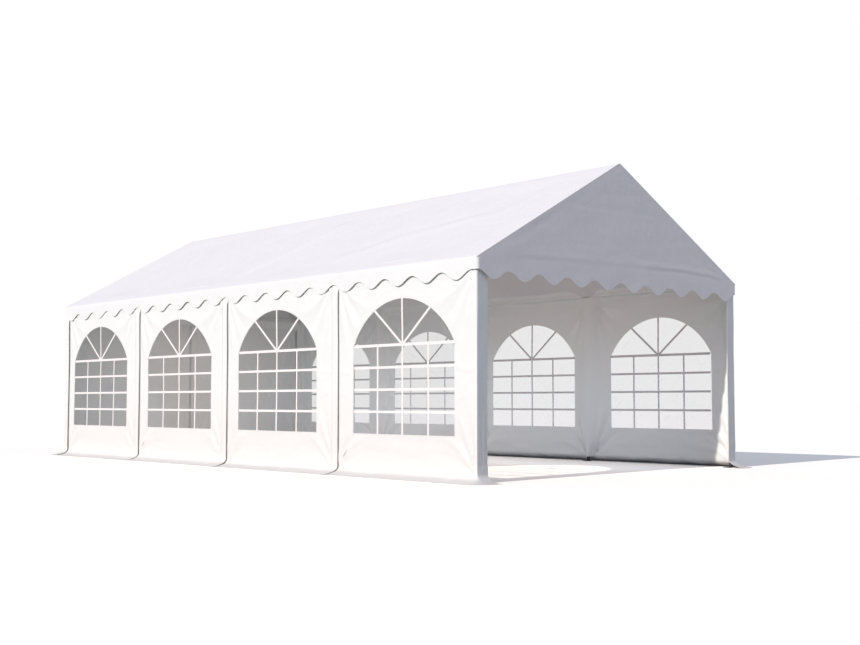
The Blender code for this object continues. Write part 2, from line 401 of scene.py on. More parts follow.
def thick_sheet(name, points, quads, cut, material, thickness, offset):
    """A sheet that is given its thickness, with cut as its UV map."""
    item = add_mesh(name, points, quads, material)
    mesh = item.data
    layer = mesh.uv_layers.new(name="cut")
    corners = np.zeros(len(mesh.loops), int)
    mesh.loops.foreach_get("vertex_index", corners)
    layer.data.foreach_set("uv", np.stack([cut[0][corners], cut[1][corners]], axis=-1).ravel())
    mesh.shade_smooth()
    sharpen_rim(mesh)
    thick = item.modifiers.new("Thickness", "SOLIDIFY")
    thick.thickness = thickness
    thick.offset = offset
    return item


def grid_sheet(name, place, s_lines, v_lines, material, thickness=CLOTH, keep=None, snap=None, cut=None):
    """A sheet meshed over (s, v), trimmed where keep says, its cut edge moved by snap onto the cut line.

    Its UV map holds metres on the flat cloth: (s, v), or what cut makes of them."""
    s, v = np.meshgrid(s_lines, v_lines)
    rows, columns = s.shape
    index = np.arange(rows * columns).reshape(rows, columns)
    quads = np.stack([index[:-1, :-1], index[:-1, 1:], index[1:, 1:], index[1:, :-1]], axis=-1)
    quads = quads.reshape(-1, 4)
    s, v = s.ravel(), v.ravel()
    if keep is not None:
        wanted = keep(s[quads].mean(axis=1), v[quads].mean(axis=1))
        inside = np.zeros(len(s), bool)
        outside = np.zeros(len(s), bool)
        inside[quads[wanted].ravel()] = True
        outside[quads[~wanted].ravel()] = True
        edge = inside & outside
        if snap:
            s[edge], v[edge] = snap(s[edge], v[edge])
        quads = quads[wanted]
        used = np.flatnonzero(inside)
        renumber = np.zeros(len(s), int)
        renumber[used] = np.arange(len(used))
        quads = renumber[quads]
        s, v = s[used], v[used]
    return thick_sheet(name, place(s, v), quads, cut(s, v) if cut else (s, v), material, thickness, -1)


def strips_mesh(name, place, strips, material, thickness):
    """Flat straps laid on a sheet, joined into one object. Each strap is (start, end, width, lift)."""
    vertices, quads = [], []
    for start, end, width, lift in strips:
        start, end = np.array(start), np.array(end)
        length = np.linalg.norm(end - start)
        heading = (end - start) / length
        across = np.array((-heading[1], heading[0]))
        count = max(2, math.ceil(length / STRAP_STEP))
        along = np.linspace(0, length, count + 1)
        first = len(vertices)
        for step in along:
            for offset in (-width / 2, 0.0, width / 2):
                vertices.append((*(start + heading * step + across * offset), lift))
        for row in range(count):
            for column in range(2):
                a = first + row * 3 + column
                quads.append((a, a + 3, a + 4, a + 1))
    s, v, lift = np.array(vertices).T
    return thick_sheet(name, place(s, v, lift), quads, (s, v), material, thickness, 1)


def stitch_mesh(name, place, paths, material, pitch=0.014, length=0.009, width=0.0016, height=0.0011):
    """Rows of raised thread stitches along lines in (s, v), joined into one object."""
    starts, ends = [], []
    for path in paths:
        path = np.array(path, float)
        gaps = np.linalg.norm(np.diff(path, axis=0), axis=1)
        run = np.concatenate([[0], np.cumsum(gaps)])
        count = int((run[-1] - length) / pitch)
        at = (np.arange(count) + 0.5) * run[-1] / count - length / 2
        for shift, bag in ((0.0, starts), (length, ends)):
            bag.append(np.stack([np.interp(at + shift, run, axis) for axis in path.T], axis=-1))
    starts, ends = np.concatenate(starts), np.concatenate(ends)
    low, high = place(*starts.T, 0.0), place(*ends.T, 0.0)
    middle = (starts + ends) / 2
    normal = place(*middle.T, 1.0) - place(*middle.T, 0.0)
    heading = high - low
    across = np.cross(heading, normal)
    across *= (width / 2) / np.linalg.norm(across, axis=1)[:, None]
    rise = normal * height
    sink = normal * (height * -0.3)
    corners = ((low, -1), (high, -1), (high, 1), (low, 1))
    ring = [end + across * (sign * wide) + up
            for wide, up in ((1.0, sink), (0.5, rise)) for end, sign in corners]
    points = np.stack(ring, axis=1).reshape(-1, 3)
    block = np.array([(0, 3, 2, 1), (4, 5, 6, 7), (0, 1, 5, 4), (1, 2, 6, 5), (2, 3, 7, 6), (3, 0, 4, 7)])
    quads = (block[None] + 8 * np.arange(len(low))[:, None, None]).reshape(-1, 4)
    return add_mesh(name, points, quads, material)


def wire(tree, node, sockets):
    for label, socket in sockets.items():
        tree.links.new(socket, node.inputs[label])


def add_node(tree, kind, links=None, **settings):
    """Adds a node. Settings that name an input set its value, others set the node's own property."""
    node = tree.nodes.new(kind)
    for key, value in settings.items():
        label = key.replace("_", " ").title()
        if label in node.inputs:
            node.inputs[label].default_value = value
        else:
            setattr(node, key, value)
    wire(tree, node, links or {})
    return node


def new_material(name, values):
    """A material with a principled shader, whose constants are set on its sockets."""
    material = bpy.data.materials.new(name)
    material.use_nodes = True
    tree = material.node_tree
    shader = tree.nodes["Principled BSDF"]
    for label, value in values.items():
        shader.inputs[label].default_value = value
    return material, tree, shader


def cut_map(tree):
    """Place on the flat cut of the cloth, in metres."""
    return add_node(tree, "ShaderNodeUVMap", uv_map="cut").outputs["UV"]


def mapped(tree, vector, **settings):
    node = add_node(tree, "ShaderNodeMapping", {"Vector": vector}, vector_type="POINT", **settings)
    return node.outputs["Vector"]


def noise(tree, vector, scale, detail, **settings):
    node = add_node(tree, "ShaderNodeTexNoise", {"Vector": vector}, scale=scale, detail=detail, **settings)
    return node.outputs["Fac"]


def joined(tree, operation, first, second):
    return add_node(tree, "ShaderNodeMath", {0: first, 1: second}, operation=operation).outputs["Value"]


def ramp(tree, value, **ends):
    return add_node(tree, "ShaderNodeMapRange", {"Value": value}, **ends).outputs["Result"]


def blend(tree, factor, low, high):
    """Colour between two linear colours."""
    mix = add_node(tree, "ShaderNodeMix", {"Factor": factor}, data_type="RGBA", a=(*low, 1.0),
                   b=(*high, 1.0))
    return mix.outputs["Result"]


def bump(tree, height, strength, distance, **under):
    node = add_node(tree, "ShaderNodeBump", {"Height": height, **under}, strength=strength,
                    distance=distance)
    return node.outputs["Normal"]


def darken_below(tree, cut, base, axis, low, high, kept):
    """Colour scaled down to kept where the cut's coordinate is under low, and whole where it is over high:
    painted shade and darkening by place on the cut.

    Along X both halves of the cut are darkened alike."""
    coordinate = add_node(tree, "ShaderNodeSeparateXYZ", {"Vector": cut}).outputs[axis]
    if axis == "X":
        coordinate = add_node(tree, "ShaderNodeMath", {0: coordinate}, operation="ABSOLUTE").outputs[0]
    share = ramp(tree, coordinate, interpolation_type="SMOOTHSTEP", from_min=low, from_max=high)
    links = {0: base, 1: blend(tree, share, kept, WHITE)}
    return add_node(tree, "ShaderNodeVectorMath", links, operation="MULTIPLY").outputs["Vector"]


def coated_polyester(name, colour, weave_turn, dent, darkening=()):
    """Woven polyester with a calendered vinyl coat: a soft satin sheen over a print of the weave."""
    sheen = {"Roughness": 0.52, "IOR": VINYL_IOR, "Specular IOR Level": 0.35}
    material, tree, shader = new_material(name, sheen)
    cut = cut_map(tree)
    threads = mapped(tree, cut, rotation=(0.0, 0.0, weave_turn))
    # The threads lie about 1 mm apart. They are drawn 6 mm apart so that they show at this distance.
    waves = [add_node(tree, "ShaderNodeTexWave", {"Vector": threads}, bands_direction=axis, distortion=1.2,
                      scale=1 / 0.006 / 6.28, detail=1.0).outputs["Fac"] for axis in "XY"]
    # Handling leaves soft dents 20 to 90 mm across in the coat.
    dents = noise(tree, cut, 1 / 0.09, 5.0, roughness=0.62, distortion=0.4)
    clouds = noise(tree, cut, 1 / 0.35, 3.0, roughness=0.55)
    base = blend(tree, clouds, [0.95 * c for c in colour], colour)
    # Bands of the cut are darkened: painted shade on the ground flaps and the roof slopes, and darker
    # towards the walls' foot.
    for axis, low, high, kept in darkening:
        base = darken_below(tree, cut, base, axis, low, high, kept)
    coarse = bump(tree, dents, dent, 0.01)
    fine = bump(tree, joined(tree, "MULTIPLY", *waves), 0.25, 0.0012, Normal=coarse)
    wire(tree, shader, {"Base Color": base, "Normal": fine})
    return material


def pressed_film(name, haze):
    """Press-polished soft vinyl film: clear and glossy, with pale wisps where it was rubbed and folded."""
    gloss = {"Roughness": 0.12, "IOR": VINYL_IOR, "Specular IOR Level": 0.3}
    material, tree, shader = new_material(name, gloss)
    cut = cut_map(tree)
    # Rubbing leaves pale wisps 3 to 10 mm wide and up to 0.3 m long, in two slanting directions.
    masks = []
    for turn, scale in ((38, 3.1), (-55, 2.3)):
        slanting = mapped(tree, cut, rotation=(0.0, 0.0, math.radians(turn)))
        stretched = mapped(tree, slanting, scale=(20.0, 1.8, 1.0))
        masks.append(noise(tree, stretched, scale, 4.0, roughness=0.65, distortion=1.4))
    wisps = ramp(tree, joined(tree, "MAXIMUM", *masks), interpolation_type="SMOOTHSTEP", from_min=0.57,
                 from_max=0.76)
    tint = blend(tree, wisps, hex_colour("#9A9C9E"), hex_colour("#F2F2F2"))
    veil = ramp(tree, wisps, to_min=haze, to_max=min(1.0, haze + 0.1))
    # Hung film lies in soft waves 0.2 m across.
    waves = bump(tree, noise(tree, cut, 1 / 0.22, 2.0), 0.3, 0.01)
    wire(tree, shader, {"Base Color": tint, "Alpha": veil, "Normal": waves})
    return material


def welded_strap(name):
    """White vinyl strap, cut from sheet and welded to the film: smoother and glossier than the cloth."""
    material, tree, shader = new_material(name, {"Roughness": 0.4, "IOR": VINYL_IOR})
    # The welding wheel prints a fine rib every 4 mm.
    ribs = noise(tree, cut_map(tree), 1 / 0.004, 2.0)
    tint = blend(tree, ribs, hex_colour("#E9E4E1"), hex_colour("#F8F4F1"))
    wire(tree, shader, {"Base Color": tint, "Normal": bump(tree, ribs, 0.2, 0.0006)})
    return material


def spun_thread(name):
    """Spun polyester thread, a shade darker than the cloth where it dips into the needle holes."""
    material, tree, shader = new_material(name, {"Roughness": 0.7})
    place = add_node(tree, "ShaderNodeTexCoord").outputs["Object"]
    # The two plies of the thread wind round each other about every 2 mm.
    plies = noise(tree, place, 1 / 0.002, 1.0)
    wire(tree, shader, {"Base Color": blend(tree, plies, hex_colour("#C9C7C5"), hex_colour("#E9E7E5"))})
    return material


def galvanised_steel(name):
    """Drawn steel tube, hot-dip galvanised: dull zinc grey with soft spangle and drawn streaks, and a foot
    painted dark as shade.
    """
    material, tree, shader = new_material(name, {"Metallic": 1.0})
    place = add_node(tree, "ShaderNodeTexCoord").outputs["Object"]
    # Zinc spangle is 8 to 15 mm across on tube.
    spangle = add_node(tree, "ShaderNodeTexVoronoi", {"Vector": place}, scale=1 / 0.012).outputs["Distance"]
    mixed = joined(tree, "ADD", spangle, noise(tree, place, 1 / 0.08, 4.0))
    tint = blend(tree, mixed, hex_colour("#A9ABAD"), hex_colour("#C9CBCD"))
    # The lowest 5 cm are painted dark: painted shade that carries the shadow line at the foot of the walls
    # across the post, so the foot doesn't shine.
    height = add_node(tree, "ShaderNodeSeparateXYZ", {"Vector": place}).outputs["Z"]
    links = {"Factor": ramp(tree, height, from_min=0.05, from_max=0.075), "B": tint}
    shaded_foot = add_node(tree, "ShaderNodeMix", links, data_type="RGBA", a=(*hex_colour("#4A4A4C"), 1.0))
    rough = ramp(tree, mixed, to_min=0.32, to_max=0.55)
    wire(tree, shader, {"Base Color": shaded_foot.outputs["Result"], "Roughness": rough})
    return material


MATERIALS = {}


def finish_of(key):
    """The tent's materials, each made once."""
    if key not in MATERIALS:
        cloth = bpy.context.scene.marquee_cloth
        window = bpy.context.scene.marquee_window
        wall, roof = tuple(cloth.wall_colour), tuple(cloth.roof_colour)
        # The gables take the roof slopes' colour, without the valances' painted highlight.
        slope = tuple(c * kept for c, kept in zip(roof, SLOPE_SHARE_UNDER_VALANCE_HIGHLIGHT))
        makers = {
            "wall": lambda: coated_polyester("coated_polyester_wall", wall, 0.0, 0.4, WALL_FLAP_SHADE_AND_FOOT_DARKENING),
            "roof": lambda: coated_polyester("coated_polyester_roof", roof, ROOF_TURN, 0.6, ROOF_VALANCE_PAINTED_HIGHLIGHT),
            "gable": lambda: coated_polyester("coated_polyester_gable", slope, 0.0, 0.3),
            "left_film": lambda: pressed_film("pressed_vinyl_film_clear", window.left_haze),
            "right_film": lambda: pressed_film("pressed_vinyl_film_hazy", window.haze),
            "strap": lambda: welded_strap("welded_vinyl_strap"),
            "thread": lambda: spun_thread("spun_polyester_thread"),
            "steel": lambda: galvanised_steel("galvanised_steel_tube"),
        }
        MATERIALS[key] = makers[key]()
    return MATERIALS[key]


def window_facts(side, number):
    """Middle along Y, half width, sill and top of a window and its arch, from its CAD film."""
    low, high = box_of(f"{side}_window_{number}")
    shift = WINDOW_SHIFT.get((side, number), (0.0, 0.0))
    low[1] += shift[0]
    high[1] += shift[1]
    half = (high[1] - low[1]) / 2 + OPENING_EASE
    top = high[2] + OPENING_EASE
    rise = top - WINDOW_SPRING
    radius = (half * half + rise * rise) / (2 * rise)
    return {"y": (low[1] + high[1]) / 2, "half": half, "sill": low[2] - OPENING_EASE, "top": top,
            "radius": radius, "centre": top - radius}


def opening_area(w):
    """Area of an arched opening: its rectangle and the round part above."""
    half_angle = math.asin(w["half"] / w["radius"])
    arch = w["radius"] ** 2 * (half_angle - math.sin(half_angle) * math.cos(half_angle))
    return 2 * w["half"] * (WINDOW_SPRING - w["sill"]) + arch


class WallCloth:
    """The cut of one wall panel and where each point of it hangs."""

    # Folds that spread from a seam's top and foot: angle off the seam, angular width, share of fold depth.
    TOP_FOLDS = [(0.09, 0.035, 1.2), (0.19, 0.04, -0.9), (0.30, 0.045, 1.1), (0.44, 0.06, -0.7),
                 (0.62, 0.08, 0.8), (0.88, 0.10, -0.4), (1.10, 0.10, 0.4)]
    FOOT_FOLDS = [(0.06, 0.03, 0.9), (0.15, 0.035, -0.9), (0.25, 0.04, 1.1), (0.38, 0.055, -0.7),
                  (0.55, 0.07, 0.9), (0.80, 0.09, -0.5)]
    # Short creases beside a seam: points off the seam and up the wall, width, share of the fold depth.
    SEAM_CREASES = [([(-0.02, 1.02), (0.12, 1.0), (0.30, 1.03)], 0.016, 0.4),
                    ([(-0.02, 0.80), (0.14, 0.78), (0.28, 0.70)], 0.014, 0.3)]

    def __init__(self, course, bands, seams, window, seed, strip=None):
        self.course = course
        self.strip = strip
        self.bands = bands
        self.seams = seams
        self.window = window
        self.seed = seed
        settings = bpy.context.scene.marquee_cloth
        self.fold_depth = settings.fold_depth
        self.ripple = settings.ripple

    def band(self, s):
        """1 on an overlap band, 0 on the plain wall."""
        total = np.zeros(np.shape(s))
        for low, high in self.bands:
            on = between(low - BAND_EASE, low, s) * (1 - between(high, high + BAND_EASE, s))
            total = np.maximum(total, on)
        return total

    def in_window(self, s, v):
        """True inside the arched opening."""
        w = self.window
        du = np.abs(s - w["s"])
        arch = (np.hypot(du, v - w["centre"]) < w["radius"]) | (v < WINDOW_SPRING)
        return (du < w["half"]) & (v > w["sill"]) & arch

    def to_outline(self, s, v):
        """Moves points near the arch onto it. The straight sides already lie on mesh lines."""
        w = self.window
        du, dv = s - w["s"], v - w["centre"]
        scale = np.where(v > WINDOW_SPRING + 0.001, w["radius"] / np.hypot(du, dv), 1.0)
        return w["s"] + du * scale, w["centre"] + dv * scale

    def relief(self, s, v):
        """How far the cloth stands out from its flat place."""
        seed = self.seed
        loose = 1 - self.band(s)
        # Loose ripples about half a metre across carry finer ones, and low down flat ones lie across them.
        height = self.ripple * crumple(s, v, 0.55, seed)
        height += 0.4 * self.ripple * crumple(s, v, 0.16, seed + 11)
        low = 1 - between(0.12, 0.42, v)
        height += low * 0.9 * self.ripple * cloud(s + 0.3 * v, v, (0.34, 0.055), seed + 21)
        height += low * 0.5 * self.ripple * cloud(s - 0.5 * v, v, (0.12, 0.09), seed + 23)
        for place, facing in self.seams:
            u = (s - place) * facing
            wander = 0.02 * cloud(s, v * 0, (0.3, 1.0), seed + 31)
            folds = fan(u, v, (0.0, SEAM_TOP), -1, self.TOP_FOLDS, 0.12, 1.05)
            folds += fan(u, v, (0.0, SEAM_FOOT), 1, self.FOOT_FOLDS, 0.12, 0.95)
            folds += creases(u, v + wander, self.SEAM_CREASES)
            height += np.where(u >= -0.002, self.fold_depth * folds, 0.0)
        height *= 0.12 + 0.88 * loose
        # The hem's stitches pull it into small puckers, 80 mm apart.
        hem = between(0.055, 0.075, v) * (1 - between(0.095, 0.12, v))
        height += 0.0009 * hem * np.cos(2 * math.pi * (s + 0.7 * v) / 0.08)
        if self.window is not None:
            w = self.window
            du = np.maximum(np.abs(s - w["s"]) - w["half"], 0)
            sill_gap = np.maximum(w["sill"] - v, 0)
            over = np.maximum(np.hypot(s - w["s"], v - w["centre"]) - w["radius"], 0)
            away = np.where(v > WINDOW_SPRING, over, np.hypot(du, sill_gap))
            film = 0.0022 * cloud(s, v, (0.5, 0.35), seed + 41)
            film += 0.0012 * cloud(s, v, (0.9, 0.07), seed + 43)
            share = between(0.0, 0.07, away)
            height = height * share + film * (1 - share)
        # The cloth may lie 12 mm further in between two posts, but not where it lies on their pockets.
        behind = between(0.035, 0.07, np.min([np.abs(s - place) for place, _ in self.seams], axis=0))
        floor = -0.012 * behind * (1 - between(1.86, 1.95, v)) - 0.0015
        return np.maximum(height, floor)

    def place(self, s, v, lift=0.0):
        """Points of the hung cloth at distances s along the cut and v up it, moved out by lift."""
        s = np.asarray(s, float)
        v = np.asarray(v, float)
        band = self.band(s)
        spot, out = self.course.at(s)
        # Below BEND_START the cut follows the curve of the flap, whose tip lies on the ground.
        base = CLOTH + BAND_LIFT * band
        down = np.clip(BEND_START - v, 0, FLAP_LENGTHS[-1])
        turn = np.interp(down, FLAP_LENGTHS, FLAP_TURNS)
        run = np.interp(down, FLAP_LENGTHS, FLAP_RUNS)
        ground = run / FLAP_REACH
        wave = 1 + 0.02 * cloud(s, v * 0, (0.35, 1.0), self.seed + 51)
        proud = BAND_PROUD * (1 - 0.75 * between(1.80, 1.87, v))
        reach = proud * band * (1 - ground) + run * wave
        settle = 1 - between(BEND_START, 0.4, v)
        upright = v + (base + FLAP_DROP - BEND_START) * settle
        fallen = base + FLAP_DROP - np.interp(down, FLAP_LENGTHS, FLAP_FALLS)
        height = np.where(v > BEND_START, upright, fallen)
        # The flap's middle lies loose on the ground.
        lifted = 0.004 * (1 + cloud(s, v, (0.16, 0.3), self.seed + 53)) * np.sin(math.pi * ground)
        push = self.relief(s, v) * (1 - between(0.0, 1.0, ground)) + lifted + lift + self.blown(v)
        # A front panel wraps round the corner: the right corner stands out, and the free edge is turned.
        if self.strip:
            corner, edge, turned = self.strip
            wide = CORNER_BULGE * (1 - between(0.0, 0.12, np.abs(s - corner))) * (spot[:, 0] > 0)
            spot = spot + np.stack([wide, 0 * wide], axis=-1)
            push = push - turned * np.clip((s - corner) / (edge - corner), 0, 1) * (1 - ground)
        facing_out, facing_up = FLAP_DROP * np.cos(turn), FLAP_REACH * np.sin(turn)
        length = np.hypot(facing_out, facing_up)
        reach = reach + push * facing_out / length
        height = height + push * facing_up / length
        return np.stack([spot[:, 0] + out[:, 0] * reach, spot[:, 1] + out[:, 1] * reach, height], axis=-1)

    def blown(self, v):
        """The wall's slack stands a little outward just under the eave."""
        return 0.007 * between(1.2, 1.75, v) * (1 - between(1.90, 1.965, v))


def wall_marks(cloth):
    """Mesh lines that a panel's cut needs: its ends, bands, corner and window."""
    s_marks = [0.0, cloth.course.length]
    for begin, run, *_, radius in cloth.course.runs:
        if radius:
            s_marks += list(np.linspace(begin, begin + run, 7))
    for low, high in cloth.bands:
        s_marks += [mark for mark in (low - BAND_EASE, low - BAND_EASE / 2, low, high, high + BAND_EASE / 2,
                                      high + BAND_EASE) if 0 < mark < cloth.course.length]
    v_marks = [WALL_TOP, SEAM_TOP] + list(BEND_START - FLAP_LENGTHS[::3]) + [FLAP_TIP]
    if cloth.window is not None:
        w = cloth.window
        s_marks += [w["s"] - w["half"], w["s"] + w["half"]]
        v_marks += [w["sill"], WINDOW_SPRING]
    return s_marks, v_marks


def hang_wall(name, node, cloth):
    """Makes and places one wall panel."""
    step = bpy.context.scene.marquee_cloth.grid
    s_marks, v_marks = wall_marks(cloth)
    keep = snap = None
    if cloth.window is not None:
        keep = lambda s, v: ~cloth.in_window(s, v)
        snap = cloth.to_outline
    item = grid_sheet(name, cloth.place, lines(s_marks, step), lines(v_marks, step), finish_of("wall"),
                      keep=keep, snap=snap)
    width, length = cloth.course.length, WALL_TOP - FLAP_TIP
    area = width * length
    if cloth.window is not None:
        area -= opening_area(cloth.window)
    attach(item, "root")
    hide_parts(node)


def side_course(side, number):
    """Plan line of a long-wall panel, its overlap bands, and the seams it hangs between."""
    seam = SEAMS[number - 1]
    last = number == len(SEAMS)
    joint = HALF_LENGTH if last else SEAMS[number]
    rear = HALF_LENGTH - CORNER_RADIUS if last else joint + UNDERLAP
    x = SIDES[side] * WALL_X
    corners = [(x, seam), (x, rear)]
    if number == 1:
        corners = [(SIDES[side] * (WALL_X - CORNER_STRIP[side]), seam), (x, seam), (x, rear)]
    if side == "left":
        corners.reverse()
    course = Course(corners, CORNER_RADIUS)
    bands = []
    if number > 1:
        ends = sorted((course.where(x, seam), course.where(x, seam + BAND_WIDTH)))
        bands.append(tuple(ends))
    front = seam + (BAND_WIDTH + BAND_EASE if number > 1 else CORNER_RADIUS)
    back = joint - (0.1 if last else 0.0)
    facing = SIDES[side]
    seams = [(course.where(x, front), facing), (course.where(x, back), -facing)]
    return course, bands, seams


WALLS = {}


def all_walls():
    """Every wall panel's cut, made once, so that cloth, film, straps and thread share it."""
    if WALLS:
        return WALLS
    for side in SIDES:
        for number in range(1, len(SEAMS) + 1):
            course, bands, seams = side_course(side, number)
            window = window_facts(side, number)
            window["s"] = course.where(SIDES[side] * WALL_X, window["y"])
            seed = 100 * number + (1000 if side == "right" else 0)
            strip = None
            if number == 1:
                corner = course.where(SIDES[side] * WALL_X, SEAMS[0] + CORNER_RADIUS)
                strip = (corner, 0.0 if side == "right" else course.length, STRIP_TURN[side])
            cloth = WallCloth(course, bands, seams, window, seed, strip)
            cloth.fold_depth *= FOLD_SHARE[side]
            WALLS[f"{side}_wall_{number}"] = cloth
    strip = HALF_LENGTH - REAR_STRIP
    turn_in = WALL_X - REAR_STRIP
    half_band = (BAND_WIDTH + BAND_EASE) / 2
    right = Course([(WALL_X, strip), (WALL_X, HALF_LENGTH), (half_band - UNDERLAP, HALF_LENGTH)],
                   CORNER_RADIUS)
    left = Course([(half_band, HALF_LENGTH), (-WALL_X, HALF_LENGTH), (-WALL_X, strip)], CORNER_RADIUS)
    at = right.where
    WALLS["rear_wall_right"] = WallCloth(
        right, [(0.0, at(turn_in, HALF_LENGTH))],
        [(at(turn_in - BAND_EASE, HALF_LENGTH), 1), (at(half_band, HALF_LENGTH), -1)], None, 2100)
    at = left.where
    WALLS["rear_wall_left"] = WallCloth(
        left, [(0.0, BAND_WIDTH), (at(-turn_in, HALF_LENGTH), left.length)],
        [(BAND_WIDTH + BAND_EASE, 1), (at(-turn_in + BAND_EASE, HALF_LENGTH), -1)], None, 2200)
    return WALLS


class MARQUEE_OT_walls(bpy.types.Operator):
    """Hang the wall cloth, with its window openings, overlap bands, folds and ground flaps."""
    bl_idname = "marquee.walls"
    bl_label = "Hang walls"

    def execute(self, context):
        for node, cloth in all_walls().items():
            hang_wall(f"{node}_cloth", node, cloth)
        return {"FINISHED"}


class MARQUEE_OT_windows(bpy.types.Operator):
    """Weld the clear film behind each opening and lay the white glazing bars on it."""
    bl_idname = "marquee.windows"
    bl_label = "Fit windows"

    def execute(self, context):
        settings = context.scene.marquee_window
        for side in SIDES:
            for number in range(1, len(SEAMS) + 1):
                cloth = all_walls()[f"{side}_wall_{number}"]
                self.fit(side, number, cloth, settings)
        return {"FINISHED"}

    def fit(self, side, number, cloth, settings):
        w = cloth.window

        def film_place(s, v, lift=0.0):
            return cloth.place(s, v, lift - (CLOTH - FILM) / 2)

        s_marks = [w["s"] - w["half"], w["s"] + w["half"]]
        v_marks = [w["sill"], WINDOW_SPRING, w["top"] + 0.01]
        film = grid_sheet(f"{side}_window_{number}_film", film_place, lines(s_marks, FILM_STEP),
                          lines(v_marks, FILM_STEP), finish_of(f"{side}_film"), FILM, keep=cloth.in_window,
                          snap=cloth.to_outline)
        bars = self.bars(f"{side}_window_{number}_bars", cloth, settings, film_place)
        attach(film, "root")
        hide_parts(f"{side}_window_{number}")
        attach(bars, "root")
        opening_area(w)

    def bars(self, name, cloth, settings, film_place):
        """Three uprights, the cross bars and the fan above the spring bar, each layer lying on the last."""
        w = cloth.window
        width = settings.bar_width
        left, right = w["s"] - w["half"], w["s"] + w["half"]
        aside = BAR_ASIDE[name.split("_")[0]]
        strips = []
        for column in range(1, settings.columns):
            s = left + (right - left) * column / settings.columns + aside
            top = w["top"] if 2 * column == settings.columns else WINDOW_SPRING
            strips.append(((s, w["sill"]), (s, top), 0.92 * width, 0.0))
        for row in range(1, settings.rows + 1):
            v = w["sill"] + (WINDOW_SPRING - w["sill"]) * row / settings.rows
            thick = width if row < settings.rows else 1.15 * width
            strips.append(((left + BAR_SHORT, v), (right, v), thick, BAR_THICKNESS * 0.6))
        rise = WINDOW_SPRING - w["centre"]
        for lean in (FAN_ANGLE, math.pi - FAN_ANGLE):
            run = np.array((math.cos(lean), math.sin(lean)))
            start = np.array((w["s"] + aside, WINDOW_SPRING))
            dot = rise * run[1] + aside * run[0]
            reach = -dot + math.sqrt(dot * dot + w["radius"] ** 2 - rise * rise - aside * aside)
            strips.append((start + run * 0.01, start + run * reach, width, BAR_THICKNESS * 1.2))
        return strips_mesh(name, film_place, strips, finish_of("strap"), BAR_THICKNESS)


def roof_line(x):
    return RIDGE_HEIGHT - SLOPE * np.abs(x)


def scallop(along, reach):
    """Height of the valance's lower edge: high at every multiple of the pitch, and at the corner."""
    last = math.floor(reach / SCALLOP_PITCH) * SCALLOP_PITCH
    along = np.clip(along, -last, last)
    return SCALLOP_MIDDLE + SCALLOP_DEPTH * np.cos(2 * math.pi * along / SCALLOP_PITCH)


# How far from the ridge and the eave the cloth's bends are rounded.
RIDGE_ROUND = 0.03
EAVE_ROUND = 0.012


